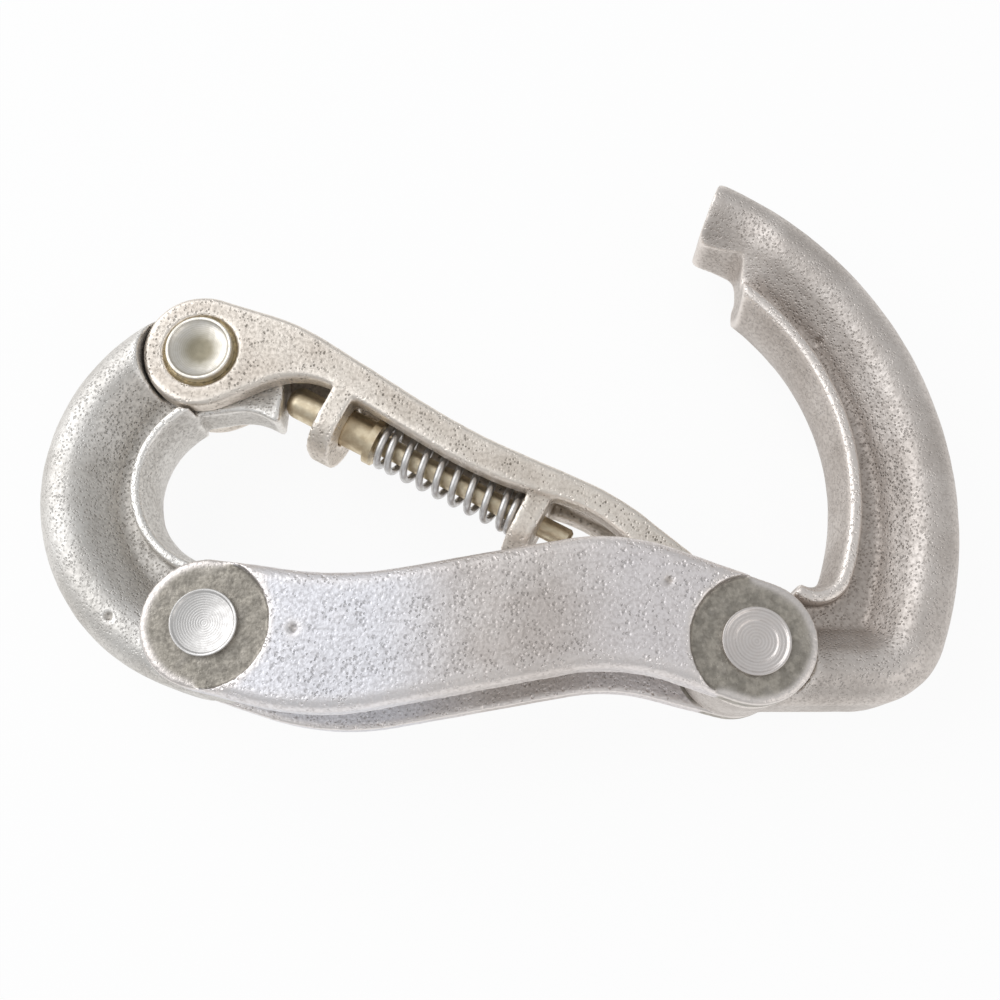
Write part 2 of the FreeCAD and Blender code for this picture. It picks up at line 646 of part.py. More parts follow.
def plunger():
    """Turned pin: rounded front, barrel, collar for the spring, and a rod through it."""
    body = new_body("plunger", "gate_x", "gate_y", "gate_angle")
    section = plan_sketch(body, "plunger_section", 0, "plunger_offset")
    back = "lug_two + lug_thickness + rod_reach"
    front_radius = "tip_flat + tip_round"
    belt(section, [
        (back, "0"), (back, "rod_radius - rod_chamfer"), (f"{back} - rod_chamfer", "rod_radius"),
        ("collar_start + collar_width", "rod_radius"), ("collar_start + collar_width", "collar_radius"),
        ("collar_start", "collar_radius"), ("collar_start", "barrel_radius"),
        ("barrel_start", "barrel_radius"), ("barrel_start", front_radius),
        ("plunger_tip + tip_round", "tip_flat", "tip_round", LEFT), ("plunger_tip", "0"),
    ])
    turned(body, section, axis="H_Axis")
    return body


def plunger_spring():
    """Round wire wound on a helix whose first and last turns lie close."""
    wire = value("wire_radius")
    coil = value("coil_radius")
    turns = value("coil_turns")
    closed = value("closed_turns")
    start = value("collar_start + collar_width + wire_radius + seat_clearance")
    end = value("lug_two - wire_radius - seat_clearance")
    steps_per_turn = 12
    close_pitch = 2 * wire + value("seat_clearance")
    open_pitch = (end - start - 2 * closed * close_pitch) / (turns - 2 * closed)
    points = []
    for step in range(int(turns * steps_per_turn) + 1):
        turn = step / steps_per_turn
        opened = min(max(turn - closed, 0.0), turns - 2 * closed)
        along = start + (turn - opened) * close_pitch + opened * open_pitch
        angle = 2 * math.pi * turn
        points.append(Vector(along, coil * math.cos(angle), coil * math.sin(angle)))
    path = Part.BSplineCurve()
    path.interpolate(points)
    tangent = path.tangent(path.FirstParameter)[0]
    section = Part.Wire(Part.makeCircle(wire, points[0], tangent))
    spring = doc.addObject("Part::Feature", "plunger_spring")
    spring.Label = "plunger_spring"
    sweep = Part.Wire(path.toShape()).makePipeShell([section], True, True)
    axis = Placement(Vector(0, value("plunger_offset"), 0), Rotation())
    spring.Shape = sweep.transformed(axis.toMatrix(), True)
    spring.setExpression("Placement", at("gate_x", "gate_y", LIFT, angle="gate_angle"))
    return spring


# Build, check and export

parts = [
    plate("front_spine_plate", FRONT, "belly", "waist"),
    plate("rear_spine_plate", REAR, "rear_belly", "rear_waist"),
    bow_body(),
    hook_body(),
    spine_rivet("bow_rivet", "bow_rivet_x", "bow_rivet_y"),
    spine_rivet("hook_rivet", "hook_rivet_x", "hook_rivet_y"),
    gate(),
    gate_rivet(),
    plunger(),
    plunger_spring(),
]
doc.recompute()

for item in doc.Objects:
    if "Invalid" in item.State or "Error" in item.State:
        raise RuntimeError(f"{item.Label} failed: {item.State} {item.getStatusString()}")
for part in parts:
    if part.Shape.isNull() or not part.Shape.isValid() or len(part.Shape.Solids) != 1:
        raise RuntimeError(f"{part.Label} is not one valid solid: {len(part.Shape.Solids)} solids")

os.makedirs("parts", exist_ok=True)
for part in parts:
    part.Shape.exportStep(f"parts/{part.Label}.step")
    box = part.Shape.BoundBox
    print(f"{part.Label}: {part.Shape.Volume:.1f} mm3, {box.XLength:.1f} x {box.YLength:.1f} x {box.ZLength:.1f}")
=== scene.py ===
# %% [markdown]
# # Keychain carabiner
# A cast clip lies open on a white table. Two cast bodies, the bow on the left and the hook on the
# right, are riveted between two spine plates. A long gate turns on the bow. In the gate a brass
# plunger, with a spring wound round it, presses on a cam. The rigid shapes come ready from the CAD
# model, exact but with sharp edges. This lesson gives them soft worn edges, pits, patina and
# turned rivets.

# %% The frame
import math

import bmesh
import bpy
import numpy as np
from mathutils import Matrix, Vector


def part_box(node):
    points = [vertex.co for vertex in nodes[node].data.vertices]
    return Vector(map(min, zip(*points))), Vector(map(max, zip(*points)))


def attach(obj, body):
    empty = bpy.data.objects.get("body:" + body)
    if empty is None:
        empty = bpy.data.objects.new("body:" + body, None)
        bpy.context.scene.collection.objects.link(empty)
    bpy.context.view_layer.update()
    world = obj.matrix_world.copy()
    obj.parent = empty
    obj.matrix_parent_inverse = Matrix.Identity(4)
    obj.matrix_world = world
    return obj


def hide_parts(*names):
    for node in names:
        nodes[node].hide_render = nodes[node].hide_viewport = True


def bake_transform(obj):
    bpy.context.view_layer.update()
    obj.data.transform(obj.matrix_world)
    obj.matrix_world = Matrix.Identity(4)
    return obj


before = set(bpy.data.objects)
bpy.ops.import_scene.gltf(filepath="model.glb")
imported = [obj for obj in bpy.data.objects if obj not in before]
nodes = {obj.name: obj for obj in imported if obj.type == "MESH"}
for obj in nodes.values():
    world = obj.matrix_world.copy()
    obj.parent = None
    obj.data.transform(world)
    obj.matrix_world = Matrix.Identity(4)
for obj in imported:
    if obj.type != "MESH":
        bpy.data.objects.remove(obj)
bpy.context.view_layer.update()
MM = 0.001
MIDDLE_PLANE = 8.0 * MM
print("CAD nodes:", ", ".join(sorted(nodes)))

# %% [markdown]
# ## Camera
# The clip was seen from almost straight above, leaning a little towards the viewer. A camera could
# be aimed with a Track To constraint. Here its three directions are written out, because they were
# worked out from the clip's own round ends, and they give the exact angle with no shift.

# %% Camera
up = Vector((0.00408, 0.96655, 0.25645))
back = Vector((0.01539, -0.25649, 0.96642)).normalized()
right = up.cross(back).normalized()
up = back.cross(right)
turn = Matrix((right, up, back)).transposed().to_euler()
bpy.ops.object.camera_add(location=(0.003272, -0.015057, 0.112963), rotation=turn)
camera = bpy.context.object
camera.name = "photo_camera"
camera.data.sensor_width = 36.0
camera.data.lens = 44.35
camera.data.clip_start = 0.002
bpy.context.scene.camera = camera
print("camera height", round(camera.location.z / MM, 1), "mm")

# %% [markdown]
# ## Table and light
# The clip lies on plain white paper. Metal shows what surrounds it, so the paper and the sky are
# as important as the lamps. A stronger lamp could whiten the paper, but it would burn out the
# metal. Instead the paper gives part of its own white to the camera and to reflections, and
# keeps the soft shadow in the rest.

# %% Paper
scene = bpy.context.scene
scene.view_settings.view_transform = "Standard"


def fresh_material(name):
    """A new material, its node tree and its shader."""
    material = bpy.data.materials.new(name)
    material.use_nodes = True
    return material, material.node_tree, material.node_tree.nodes["Principled BSDF"]


def add(tree, kind, **settings):
    """Adds a node and sets its properties."""
    item = tree.nodes.new(kind)
    for key, setting in settings.items():
        setattr(item, key, setting)
    return item


PAPER_SIZE = 1.6
UNDER_THE_CLIP = 0.02 * MM
OWN_WHITE = 0.92


def paper_material():
    """White paper that shows OWN_WHITE of pure white to the camera and to reflections."""
    material, tree, surface = fresh_material("white_paper")
    surface.inputs["Base Color"].default_value = (0.93, 0.93, 0.93, 1)
    surface.inputs["Roughness"].default_value = 0.9
    rays = add(tree, "ShaderNodeLightPath")
    seen = add(tree, "ShaderNodeMath", operation="MAXIMUM")
    share = add(tree, "ShaderNodeMath", operation="MULTIPLY")
    share.inputs[1].default_value = OWN_WHITE
    glow = add(tree, "ShaderNodeEmission")
    glow.inputs["Strength"].default_value = 1.0
    both = add(tree, "ShaderNodeMixShader")
    link = tree.links.new
    link(rays.outputs["Is Camera Ray"], seen.inputs[0])
    link(rays.outputs["Is Glossy Ray"], seen.inputs[1])
    link(seen.outputs[0], share.inputs[0])
    link(share.outputs[0], both.inputs[0])
    link(surface.outputs[0], both.inputs[1])
    link(glow.outputs[0], both.inputs[2])
    link(both.outputs[0], tree.nodes["Material Output"].inputs["Surface"])
    return material


bpy.ops.mesh.primitive_plane_add(size=PAPER_SIZE, location=(0, 0, -UNDER_THE_CLIP))
paper = bpy.context.object
paper.name = "paper"
paper.data.materials.append(paper_material())
print("paper laid,", PAPER_SIZE, "m wide")

# %% Lamps and sky
world = bpy.data.worlds.new("pale_room")
scene.world = world
world.use_nodes = True
sky = world.node_tree.nodes["Background"]
sky.inputs["Color"].default_value = (0.96, 0.98, 1.0, 1)
sky.inputs["Strength"].default_value = 0.55
clip_middle = Vector((0, 0.01, 0))


def lamp(name, place, size, watts, colour):
    """A square soft box that faces the clip."""
    aim = (clip_middle - Vector(place)).to_track_quat("-Z", "Y").to_euler()
    bpy.ops.object.light_add(type="AREA", location=place, rotation=aim)
    box = bpy.context.object
    box.name = name
    box.data.size = size
    box.data.energy = watts
    box.data.color = colour
    print(name, "lamp:", size, "m wide,", watts, "W")


lamp("window", (-0.30, 0.16, 0.30), size=0.50, watts=1.15, colour=(0.97, 0.98, 1.0))
lamp("room", (0.30, -0.20, 0.30), size=0.40, watts=0.3, colour=(1.0, 0.96, 0.93))

# %% [markdown]
# ## Wear and painted highlight that follow the shape
# Years of handling polish the edges of such a clip, and dirt stays in its hollows. Wear could be
# painted by hand. Measuring it is surer: where a smoothed copy of the surface lies above the real
# surface there is a hollow, and where it lies below there is an edge. A little smoothing finds the
# sharp edges, and more of it finds narrow ribs and wide hollows. Both measures are stored on the
# mesh as attributes that the finishes read. The edge measure lightens the edges for their polish,
# and also as a painted highlight.

# %% Smoothing a surface in numbers
def vertex_array(mesh, what="co"):
    """All points of a mesh, or their normals, as rows of x, y, z."""
    data = np.zeros(len(mesh.vertices) * 3)
    mesh.vertices.foreach_get(what, data)
    return data.reshape(-1, 3)


def smoothed(points, edges, rounds):
    """Moves each point to the middle of its neighbours, again and again."""
    count = np.bincount(edges.ravel(), minlength=len(points))[:, None]
    for _ in range(rounds):
        total = np.zeros_like(points)
        for axis in range(3):
            total[:, axis] = (np.bincount(edges[:, 0], points[edges[:, 1], axis], len(points))
                              + np.bincount(edges[:, 1], points[edges[:, 0], axis], len(points)))
        points = 0.5 * points + 0.5 * total / np.maximum(count, 1)
    return points


print("smoothing ready")

# %% Hollows and edges
# How far the smoothed copy has to lie from the real surface for a measure to count in full.
DEEP_HOLLOW, FINE_HOLLOW = 0.22 * MM, 0.05 * MM
SHARP_EDGE, NARROW_RIB = 0.07 * MM, 0.10 * MM


def measure_wear_and_highlight(piece, dented, fine=14, middling=45, broad=160):
    """fine, middling and broad are rounds of smoothing. dented is how far each point lies inside
    a dent, which holds dirt as a hollow does."""
    mesh = piece.data
    edges = np.zeros(len(mesh.edges) * 2, dtype=np.int64)
    mesh.edges.foreach_get("vertices", edges)
    edges = edges.reshape(-1, 2)
    points = vertex_array(mesh)
    normals = vertex_array(mesh, "normal")
    soft = smoothed(points, edges, fine)
    near = ((soft - points) * normals).sum(1)
    soft = smoothed(soft, edges, middling - fine)
    between = ((soft - points) * normals).sum(1)
    wide = ((smoothed(soft, edges, broad - middling) - points) * normals).sum(1)
    hollow = np.clip(wide / DEEP_HOLLOW, 0, 1) * 0.75 + np.clip(near / FINE_HOLLOW, 0, 1) * 0.25
    hollow = np.maximum(hollow, np.clip(dented, 0, 1))
    ridge = np.maximum(np.clip(-near / SHARP_EDGE, 0, 1),
                       np.clip(-between / NARROW_RIB - 0.5, 0, 1))
    for name, data in (("hollow", hollow), ("ridge", ridge)):
        layer = mesh.attributes.new(name, "FLOAT", "POINT")
        layer.data.foreach_set("value", data.astype(np.float32))
    print(piece.name, "wear:", round(float(hollow.mean()), 3), round(float(ridge.mean()), 3))


# %% [markdown]
# ## Finishes
# The castings are bright metal with hundreds of fine dark pits, a brownish film in the hollows and
# polished edges, lightened further as a painted highlight. An image could show this. A procedural
# finish holds up at every distance, so the pits come from a Voronoi pattern whose cells open and
# close with a slower noise. The recesses round the rivets are darker discs, found by their
# distance from the rivet's axis. The bow is painted lighter than the hook, and the plates lighter
# at each side, as painted light.

# %% Small helpers for node trees
def attribute(tree, name):
    """The number that a mesh attribute holds."""
    return add(tree, "ShaderNodeAttribute", attribute_name=name).outputs["Fac"]


def ranged(tree, source, low, high, start=0.0, end=1.0):
    """Maps low..high to start..end, softly."""
    item = add(tree, "ShaderNodeMapRange", interpolation_type="SMOOTHSTEP")
    for index, number in ((1, low), (2, high), (3, start), (4, end)):
        item.inputs[index].default_value = number
    tree.links.new(source, item.inputs[0])
    return item.outputs[0]


def noise(tree, place, scale, detail=3.0):
    """A soft random pattern from 0 to 1."""
    item = add(tree, "ShaderNodeTexNoise")
    item.inputs["Scale"].default_value = scale
    item.inputs["Detail"].default_value = detail
    tree.links.new(place, item.inputs["Vector"])
    return item.outputs["Fac"]


def sums(tree, operation, first, second):
    """A Math node of two sockets, or of a socket and a number."""
    item = add(tree, "ShaderNodeMath", operation=operation)
    for index, source in enumerate((first, second)):
        if isinstance(source, float):
            item.inputs[index].default_value = source
        else:
            tree.links.new(source, item.inputs[index])
    return item.outputs[0]


def tinted(tree, share, first, second):
    """Mixes two colours, or a colour and a socket."""
    item = add(tree, "ShaderNodeMix", data_type="RGBA")
    tree.links.new(share, item.inputs[0])
    for index, colour in ((6, first), (7, second)):
        if isinstance(colour, tuple):
            item.inputs[index].default_value = (*colour, 1)
        else:
            tree.links.new(colour, item.inputs[index])
    return item.outputs[2]


def from_axis(tree, vector):
    """Distance from the upright axis through the vector's origin."""
    flat = add(tree, "ShaderNodeVectorMath", operation="MULTIPLY")
    flat.inputs[1].default_value = (1, 1, 0)
    length = add(tree, "ShaderNodeVectorMath", operation="LENGTH")
    tree.links.new(vector, flat.inputs[0])
    tree.links.new(flat.outputs[0], length.inputs[0])
    return length.outputs["Value"]


def bumped(tree, surface, height, strength, depth):
    """Lets a height of up to depth, in mm, turn the light on the surface."""
    bump = add(tree, "ShaderNodeBump")
    bump.inputs["Strength"].default_value = strength
    bump.inputs["Distance"].default_value = depth * MM
    tree.links.new(height, bump.inputs["Height"])
    tree.links.new(bump.outputs["Normal"], surface.inputs["Normal"])


print("node helpers ready")

# %% Pits and discs
def pit_layer(tree, place, spacing, radius, fewest=0.4):
    """Round holes of a radius, spaced as given, that fade to fewest where a slow noise is low."""
    cells = add(tree, "ShaderNodeTexVoronoi")
    cells.inputs["Scale"].default_value = 1 / (spacing * MM)
    tree.links.new(place, cells.inputs["Vector"])
    reach = radius / spacing
    holes = ranged(tree, cells.outputs["Distance"], 0.4 * reach, 1.3 * reach, 1.0, 0.0)
    crowd = ranged(tree, noise(tree, place, 420.0), 0.38, 0.58, fewest, 1.0)
    return sums(tree, "MULTIPLY", holes, crowd)


def inside_disc(tree, place, centre, radius):
    """1 within a radius of an upright axis, 0 outside."""
    away = add(tree, "ShaderNodeVectorMath", operation="SUBTRACT")
    away.inputs[1].default_value = (centre[0] * MM, centre[1] * MM, 0)
    tree.links.new(place, away.inputs[0])
    distance = from_axis(tree, away.outputs[0])
    return ranged(tree, distance, (radius - 0.12) * MM, (radius + 0.02) * MM, 1.0, 0.0)


print("pits and discs ready")

# %% Pitted metal
def pitted_metal(name, bright, dull, patina, layers, stain=0.6, roughness=0.52, depth=0.06,
                 film=0.75, discs=(), floor=None, painted_highlights=(), edge_lightening=1.2):
    """Cast metal. layers are (spacing, radius, fewest) of its pits and stain is how dark they
    look. discs are recesses with a floor colour. The tints along X are painted highlights that
    lighten one side, and edges and ribs are lightened for polish and as a painted highlight."""
    material, tree, surface = fresh_material(name)
    place = add(tree, "ShaderNodeTexCoord").outputs["Object"]
    pits = pit_layer(tree, place, *layers[0])
    for layer in layers[1:]:
        pits = sums(tree, "MAXIMUM", pits, pit_layer(tree, place, *layer))
    broad = ranged(tree, noise(tree, place, 160.0, 4.0), 0.35, 0.65)
    grain = noise(tree, place, 3200.0, 4.0)
    ridge = attribute(tree, "ridge")
    hollow = sums(tree, "MULTIPLY", attribute(tree, "hollow"),
                  ranged(tree, noise(tree, place, 420.0, 5.0), 0.25, 0.6, 0.7, 1.0))
    colour = tinted(tree, broad, bright, dull)
    side = add(tree, "ShaderNodeSeparateXYZ")
    tree.links.new(place, side.inputs[0])
    # Painted highlights: each tint makes the colour lighter towards one side, as the lamps light
    # it.
    for start, full, tint in painted_highlights:
        low, high = sorted((start, full))
        ends = (0.0, 0.85) if start < full else (0.85, 0.0)
        band = ranged(tree, side.outputs["X"], low * MM, high * MM, *ends)
        colour = tinted(tree, band, colour, tint)
    colour = tinted(tree, sums(tree, "MULTIPLY", hollow, film), colour, patina)
    for centre, radius in discs:
        disc = inside_disc(tree, place, centre, radius)
        streaks = ranged(tree, noise(tree, place, 1500.0, 5.0), 0.38, 0.62)
        streaked = tinted(tree, streaks, floor, tuple(c * 0.7 for c in floor))
        colour = tinted(tree, disc, colour, streaked)
        pits = sums(tree, "MULTIPLY", pits, ranged(tree, disc, 0.0, 1.0, 1.0, 0.25))
    dark = sums(tree, "MAXIMUM", sums(tree, "MULTIPLY", pits, stain),
                ranged(tree, grain, 0.4, 0.7, 0.0, 0.25))
    colour = tinted(tree, dark, colour, tuple(c * 0.4 for c in patina))
    # Edges and ribs are lightened for polish and also as a painted highlight, most on the hook.
    polish_and_highlight = tuple(min(c * edge_lightening, 0.95) for c in bright)
    colour = tinted(tree, sums(tree, "MULTIPLY", ridge, 0.8), colour, polish_and_highlight)
    tree.links.new(colour, surface.inputs["Base Color"])
    surface.inputs["Metallic"].default_value = 1.0
    rough = ranged(tree, grain, 0.3, 0.7, roughness - 0.04, roughness + 0.1)
    rough = sums(tree, "SUBTRACT", rough, sums(tree, "MULTIPLY", ridge, 0.16))
    tree.links.new(rough, surface.inputs["Roughness"])
    height = sums(tree, "SUBTRACT", sums(tree, "MULTIPLY", grain, 0.6), pits)
    bumped(tree, surface, height, 0.9, depth)
    print(name, "has", len(tree.nodes), "nodes")
    return material


# %% The four cast finishes
# The places of the rivets and the radii of the recesses round them, in mm.
bow_at = (-22.1, 0.8)
hook_at = (22.1, -0.8)
pivot_at = (-24.7, 25.45)
PLATE_RECESS, GATE_RECESS = 5.3, 3.35
speckle = ((0.27, 0.08, 0.7), (0.48, 0.11, 0.5))
# Painted light: the bow is painted lighter and cooler, the hook darker and warmer, though both are
# one metal.
bow_metal_painted_light = pitted_metal("cast_bow_painted_light", (0.77, 0.745, 0.71), (0.64, 0.61, 0.57),
                         (0.53, 0.495, 0.45), speckle, stain=0.42)
# The hook's edges get the strongest painted highlight, for its bright lip.
hook_metal_painted_shade = pitted_metal("cast_hook_painted_shade", (0.68, 0.63, 0.59), (0.56, 0.51, 0.47),
                          (0.49, 0.43, 0.385), speckle, stain=0.42, edge_lightening=1.35)
# Painted highlights on the plates: cool towards the left, where the window lamp is, warm towards
# the right.
plate_metal = pitted_metal("cast_plate", (0.75, 0.70, 0.67), (0.63, 0.575, 0.54),
                           (0.42, 0.375, 0.33), ((0.60, 0.17, 0.25), (0.36, 0.09, 0.2)),
                           stain=0.36, depth=0.08, floor=(0.45, 0.415, 0.36),
                           discs=((bow_at, PLATE_RECESS), (hook_at, PLATE_RECESS)),
                           painted_highlights=((1, -9, (0.90, 0.90, 0.945)), (5, 13, (0.84, 0.80, 0.80))))
gate_metal = pitted_metal("cast_gate", (0.83, 0.765, 0.69), (0.70, 0.63, 0.555),
                          (0.38, 0.32, 0.25), ((0.56, 0.13, 0.2), (0.36, 0.085, 0.1)),
                          stain=0.8, discs=((pivot_at, GATE_RECESS),), floor=(0.85, 0.74, 0.52),
                          edge_lightening=1.06)

# %% [markdown]
# Turned pieces carry fine rings from the lathe. Rings about an axis are a Wave pattern read from
# coordinates whose origin was moved onto that axis, so each turned piece gets its own centre.

# %% Turned metal
# A Wave node at a scale of 1 has a ring every 0.314 units.
RING_AT_SCALE_ONE = 0.314


def turned_metal(name, centre, bright, dull, spacing=0.17, roughness=0.32, axis="Z", lean=0.0,
                 depth=0.012, core=None):
    """Rings about an axis through centre. core is the radius and colour of a darker middle."""
    material, tree, surface = fresh_material(name)
    place = add(tree, "ShaderNodeTexCoord").outputs["Object"]
    moved = add(tree, "ShaderNodeMapping", vector_type="TEXTURE")
    moved.inputs["Location"].default_value = centre
    moved.inputs["Rotation"].default_value = (0, 0, lean)
    tree.links.new(place, moved.inputs["Vector"])
    rings = add(tree, "ShaderNodeTexWave", wave_type="RINGS", rings_direction=axis)
    rings.inputs["Scale"].default_value = RING_AT_SCALE_ONE / (spacing * MM)
    rings.inputs["Distortion"].default_value = 0.4
    tree.links.new(moved.outputs[0], rings.inputs["Vector"])
    smear = noise(tree, place, 1900.0, 5.0)
    worn = sums(tree, "ADD", sums(tree, "MULTIPLY", rings.outputs["Fac"], 0.5),
                ranged(tree, smear, 0.35, 0.65, 0.0, 0.5))
    colour = tinted(tree, worn, bright, dull)
    if core:
        radius, shade = core
        inner = ranged(tree, from_axis(tree, moved.outputs[0]), 0.3 * radius * MM, radius * MM,
                       1.0, 0.0)
        colour = tinted(tree, inner, colour, shade)
    tree.links.new(colour, surface.inputs["Base Color"])
    surface.inputs["Metallic"].default_value = 1.0
    rough = ranged(tree, smear, 0.3, 0.7, roughness, roughness + 0.12)
    tree.links.new(rough, surface.inputs["Roughness"])
    bumped(tree, surface, rings.outputs["Fac"], 0.5, depth)
    return material


print("turned finish ready")

# %% [markdown]
# ## Castings
# The bow, the hook, the gate and the plates were poured in moulds and tumbled, so no edge on them
# is sharp. A Bevel on a CAD mesh of long thin triangles tears easily. A voxel Remesh gives an even
# skin instead, a little Smooth rounds every edge by the same amount, and a faint Displace makes
# the surface uneven as cast metal is. The nose is then pressed thinner towards its lower edge, and
# single dents are pushed in, by moving the points near them.

# %% Helpers for modelling
def apply_modifier(piece, kind, **settings):
    """Adds a modifier, sets it and applies it."""
    item = piece.modifiers.new(kind.lower(), kind)
    for key, setting in settings.items():
        setattr(item, key, setting)
    bpy.ops.object.modifier_apply(modifier=item.name)


def make_active(piece):
    """Makes a piece the only one that operators act on."""
    bpy.ops.object.select_all(action="DESELECT")
    piece.select_set(True)
    bpy.context.view_layer.objects.active = piece


def edit_whole_mesh():
    """Enters edit mode with every face selected."""
    bpy.ops.object.mode_set(mode="EDIT")
    bpy.ops.mesh.select_all(action="SELECT")


print("modelling helpers ready")

# %% The nose
# Places and lengths in mm. The thinning is a share of the depth.
NOSE_WALL, NOSE_REACH, NOSE_THINNING = (21.6, 35.8), 5.5, 0.24
TIP_CORNER, TIP_DIRECTION = (21.0, 41.76), (-0.45, 0.89)
TIP_START, TIP_ROUND = 1.35, 0.62


def shape_nose(points):
    """Thins the nose towards its lower edge, and rounds its tip."""
    wall_x, wall_y = NOSE_WALL
    away = np.hypot(points[:, 0] - wall_x * MM, points[:, 1] - wall_y * MM) / (NOSE_REACH * MM)
    near = np.clip(1 - away, 0, 1) ** 2 * (3 - 2 * np.clip(1 - away, 0, 1))
    depth = points[:, 2] - MIDDLE_PLANE
    points[:, 2] = MIDDLE_PLANE + depth * (1 - NOSE_THINNING * near)
    outward = np.array(TIP_DIRECTION)
    past = (points[:, :2] - np.array(TIP_CORNER) * MM) @ outward + TIP_START * MM
    kept = TIP_ROUND * MM * np.tanh(past / (TIP_ROUND * MM))
    points[:, :2] -= np.where(past > 0, past - kept, 0)[:, None] * outward


print("nose pressed thinner by up to", NOSE_THINNING)

# %% Soft castings
unevenness = bpy.data.textures.new("cast_unevenness", "CLOUDS")
unevenness.noise_scale = 2.2 * MM
unevenness.noise_depth = 1


def soft_casting(node, name, voxel=0.19, rounds=5, swell=0.06, dents=(), shape=None):
    """A soft copy of a CAD node. dents are (x, y, radius, depth) in mm, on its upper side."""
    piece = bpy.data.objects.new(name, nodes[node].data.copy())
    scene.collection.objects.link(piece)
    make_active(piece)
    edit_whole_mesh()
    bpy.ops.mesh.remove_doubles(threshold=1e-6)
    bpy.ops.object.mode_set(mode="OBJECT")
    apply_modifier(piece, "REMESH", mode="VOXEL", voxel_size=voxel * MM, use_smooth_shade=True)
    apply_modifier(piece, "SMOOTH", factor=0.5, iterations=rounds)
    apply_modifier(piece, "DISPLACE", texture=unevenness, texture_coords="LOCAL",
                   strength=swell * MM, mid_level=0.6)
    points = vertex_array(piece.data)
    if shape:
        shape(points)
    dented = np.zeros(len(points))
    for x, y, wide, deep in dents:
        away = np.hypot(points[:, 0] - x * MM, points[:, 1] - y * MM) / (wide * MM)
        top = points[:, 2] > points[away < 1, 2].max() - 0.8 * MM
        hole = np.where(top, np.clip(1 - away ** 2, 0, 1), 0)
        points[:, 2] -= hole * deep * MM
        dented = np.maximum(dented, 1.6 * hole)
    piece.data.vertices.foreach_set("co", points.ravel())
    piece.data.update()
    bpy.ops.object.shade_smooth()
    measure_wear_and_highlight(piece, dented)
    piece.data.materials.clear()
    print(name, len(piece.data.polygons), "faces")
    return piece


# %% Bow, hook, plates and gate
castings = (
    ("bow_body", "bow_casting", "frame", bow_metal_painted_light, "cast_metal", ((-30.53, 1.69, 0.45, 0.3),)),
    ("hook_body", "hook_casting", "frame", hook_metal_painted_shade, "cast_metal", ((29.83, 26.62, 0.4, 0.25),)),
    ("front_spine_plate", "front_plate", "frame", plate_metal, "cast_metal",
     ((-14.73, 0.22, 0.45, 0.3), (15.23, 4.01, 0.4, 0.2))),
    ("rear_spine_plate", "rear_plate", "frame", plate_metal, "cast_metal", ()),
    ("gate", "gate_casting", "gate", gate_metal, "gate_metal", ()),
)
for node, name, rides, finish, slot, dents in castings:
    shape = shape_nose if node == "hook_body" else None
    piece = soft_casting(node, name, dents=dents, shape=shape)
    piece.data.materials.append(finish)
    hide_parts(node)
    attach(piece, rides)

# %% [markdown]
# ## Rivets
# Each rivet is a turned pin with a head at each end, and the head has a rim and a dished face. A
# profile could be spun. Here a cylinder is drawn out into two heads with Extrude, Scale and Move,
# as the lathe works from the end, because the rim and the dish are then simple steps on one face.

# %% Helpers for end faces
def choose_end(piece, side):
    """In edit mode, selects the flat end of the pin that faces up (1) or down (-1)."""
    bpy.ops.mesh.select_all(action="DESELECT")
    mesh = bmesh.from_edit_mesh(piece.data)
    mesh.faces.ensure_lookup_table()
    ends = [face for face in mesh.faces if face.normal.z * side > 0.9]
    reach = max(face.calc_center_median().z * side for face in ends)
    for face in ends:
        if face.calc_center_median().z * side > reach - 1e-7:
            face.select_set(True)
    bmesh.update_edit_mesh(piece.data)


def step_end(radius_ratio):
    """Adds a ring of faces round the selected end, and changes the end's radius by a ratio."""
    bpy.ops.mesh.extrude_region_move(TRANSFORM_OT_translate={"value": (0, 0, 0)})
    bpy.ops.transform.resize(value=(radius_ratio, radius_ratio, 1))


print("end faces can be chosen and stepped")

# %% A turned rivet
SHANK = 1.7


def rivet(name, node, at, head, height, face_steps, finish):
    """A pin with equal heads. face_steps are (radius, sink) pairs from the rim inwards, with
    sinks from the head's top."""
    x, y = at
    low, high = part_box(node)
    half = (high.z - low.z) / 2 / MM - height
    bpy.ops.object.select_all(action="DESELECT")
    bpy.ops.mesh.primitive_cylinder_add(vertices=72, radius=SHANK * MM, depth=2 * half * MM,
                                        location=(x * MM, y * MM, (high.z + low.z) / 2))
    pin = bpy.context.object
    pin.name = name
    bpy.ops.object.mode_set(mode="EDIT")
    for side in (1, -1):
        choose_end(pin, side)
        step_end(head / SHANK)
        rise = {"value": (0, 0, height * side * MM)}
        bpy.ops.mesh.extrude_region_move(TRANSFORM_OT_translate=rise)
        radius, sunk = head, 0.0
        for next_radius, sink in face_steps:
            step_end(next_radius / radius)
            bpy.ops.transform.translate(value=(0, 0, (sunk - sink) * side * MM))
            radius, sunk = next_radius, sink
    bpy.ops.object.mode_set(mode="OBJECT")
    bpy.ops.object.transform_apply(location=True, rotation=True, scale=True)
    apply_modifier(pin, "BEVEL", width=0.07 * MM, segments=3, limit_method="ANGLE",
                   angle_limit=math.radians(25))
    bpy.ops.object.shade_smooth_by_angle(angle=math.radians(32))
    pin.data.materials.append(finish)
    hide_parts(node)
    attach(pin, "frame")
    print(name, len(pin.data.polygons), "faces")


# %% The three rivets
def ring_finish(name, at, bright, dull, **more):
    """Turned metal with its rings about a rivet."""
    return turned_metal(name, (at[0] * MM, at[1] * MM, 0), bright, dull, **more)


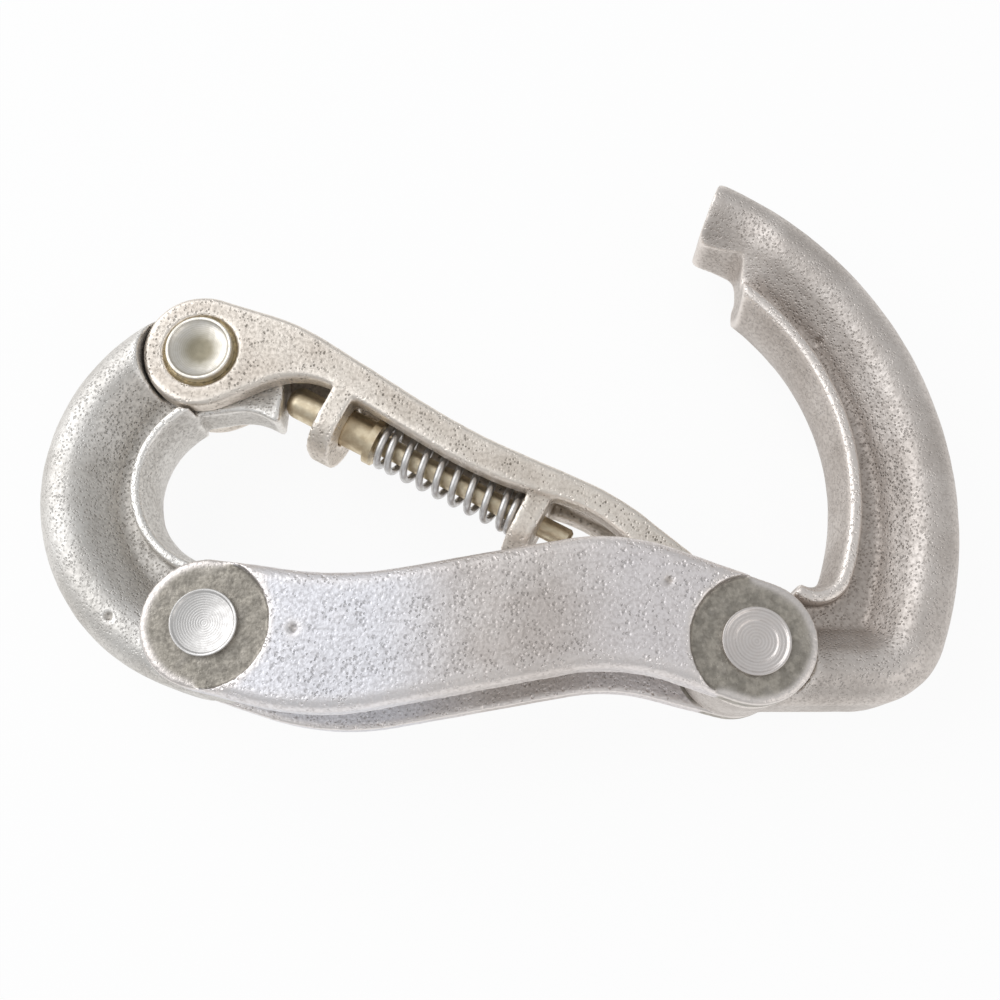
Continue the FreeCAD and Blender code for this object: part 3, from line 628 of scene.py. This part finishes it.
cone = ((2.56, 0.0), (2.44, 0.12), (1.3, 0.26), (0.3, 0.36))
ringed_dish = ((2.56, 0.0), (2.42, 0.12), (1.75, 0.16), (1.65, 0.22), (0.3, 0.3))
cup = tuple((2.62 * math.cos(math.radians(a)), 0.62 * math.sin(math.radians(a)))
            for a in (0, 15, 30, 45, 60, 75, 86))
rivet("bow_pin", "bow_rivet", bow_at, head=2.75, height=0.5, face_steps=cone,
      finish=ring_finish("turned_bow_pin", bow_at, (0.75, 0.73, 0.71), (0.62, 0.60, 0.58),
                         spacing=0.2))
rivet("hook_pin", "hook_rivet", hook_at, head=2.75, height=0.5, face_steps=ringed_dish,
      finish=ring_finish("turned_hook_pin", hook_at, (0.82, 0.77, 0.74), (0.66, 0.61, 0.58),
                         spacing=0.26))
rivet("pivot_pin", "gate_rivet", pivot_at, head=2.9, height=1.0, face_steps=cup,
      finish=ring_finish("turned_pivot_pin", pivot_at, (0.88, 0.84, 0.78), (0.70, 0.66, 0.58),
                         depth=0.006, core=(2.5, (0.25, 0.225, 0.165))))

# %% [markdown]
# ## Plunger and spring
# The plunger's CAD shape is right, so it stays and only gets tarnished brass. The spring is wound
# from round wire. A Screw modifier winds a circle into a coil in one step, and the first and last
# turns are then pressed together by moving points along the axis, as a real spring is closed.

# %% Plunger
LEAN = math.radians(-28)
ROD_OFFSET = 0.75 * MM
along = Vector((math.cos(LEAN), math.sin(LEAN), 0))
across = Vector((-math.sin(LEAN), math.cos(LEAN), 0))
pivot = Vector((pivot_at[0] * MM, pivot_at[1] * MM, MIDDLE_PLANE))
rod_start = pivot + across * ROD_OFFSET
brass = turned_metal("tarnished_brass", tuple(rod_start), (0.80, 0.70, 0.52), (0.60, 0.49, 0.33),
                     spacing=0.5, roughness=0.34, axis="X", lean=LEAN, depth=0.01)
nodes["plunger"].data.materials.clear()
nodes["plunger"].data.materials.append(brass)
print("plunger in brass")

# %% Spring
# closed is how many turns lie close at each end. first and last are distances from the pivot.
wire, coil = 0.34 * MM, 1.78 * MM
turns, closed = 9.5, 1.0
first, last = 17.59 * MM, 31.01 * MM
steps = int(turns * 40)
bpy.ops.object.select_all(action="DESELECT")
bpy.ops.mesh.primitive_circle_add(vertices=16, radius=wire, rotation=(math.pi / 2, 0, 0),
                                  location=(coil, 0, 0))
spring = bpy.context.object
spring.name = "spring_wire"
bpy.ops.object.transform_apply(location=True, rotation=True, scale=True)
apply_modifier(spring, "SCREW", axis="Z", angle=2 * math.pi * turns, screw_offset=last - first,
               steps=steps, render_steps=steps)
edit_whole_mesh()
bpy.ops.mesh.fill_holes(sides=0)
bpy.ops.mesh.normals_make_consistent(inside=False)
bpy.ops.object.mode_set(mode="OBJECT")
print("spring wound:", len(spring.data.vertices), "points")

# %% Close the end turns and put the spring on the plunger
# wound counts the turns from the start of the coil to each point. The closed end turns rise by
# little more than the wire, and the open ones share out the rest of the length.
points = vertex_array(spring.data)
pitch = (last - first) / turns
close_pitch = 2 * wire + 0.05 * MM
open_pitch = (last - first - 2 * closed * close_pitch) / (turns - 2 * closed)
part_turn = np.arctan2(points[:, 1], points[:, 0]) / (2 * math.pi)
wound = np.round(points[:, 2] / pitch - part_turn) + part_turn
opened = np.clip(wound - closed, 0, turns - 2 * closed)
rise = (wound - opened) * close_pitch + opened * open_pitch
height = points[:, 2] - wound * pitch + rise
place = np.array(rod_start)[None] + np.outer(first + height, along)
place += np.outer(points[:, 0], across) + np.outer(points[:, 1], (0, 0, 1))
spring.data.vertices.foreach_set("co", place.ravel())
spring.data.update()
print("end turns closed to", round(close_pitch / MM, 2), "mm, the rest at",
      round(open_pitch / MM, 2), "mm")

# %% Finish the spring
make_active(spring)
edit_whole_mesh()
bpy.ops.mesh.normals_make_consistent(inside=False)
bpy.ops.object.mode_set(mode="OBJECT")
bpy.ops.object.shade_smooth()
steel = turned_metal("spring_steel", tuple(rod_start), (0.74, 0.73, 0.72), (0.54, 0.52, 0.50),
                     spacing=0.3, axis="X", lean=LEAN, depth=0.004)
spring.data.materials.append(steel)
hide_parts("plunger_spring")
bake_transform(spring)
print("spring lies between", round(first / MM, 2), "and", round(last / MM, 2), "mm from the pivot")
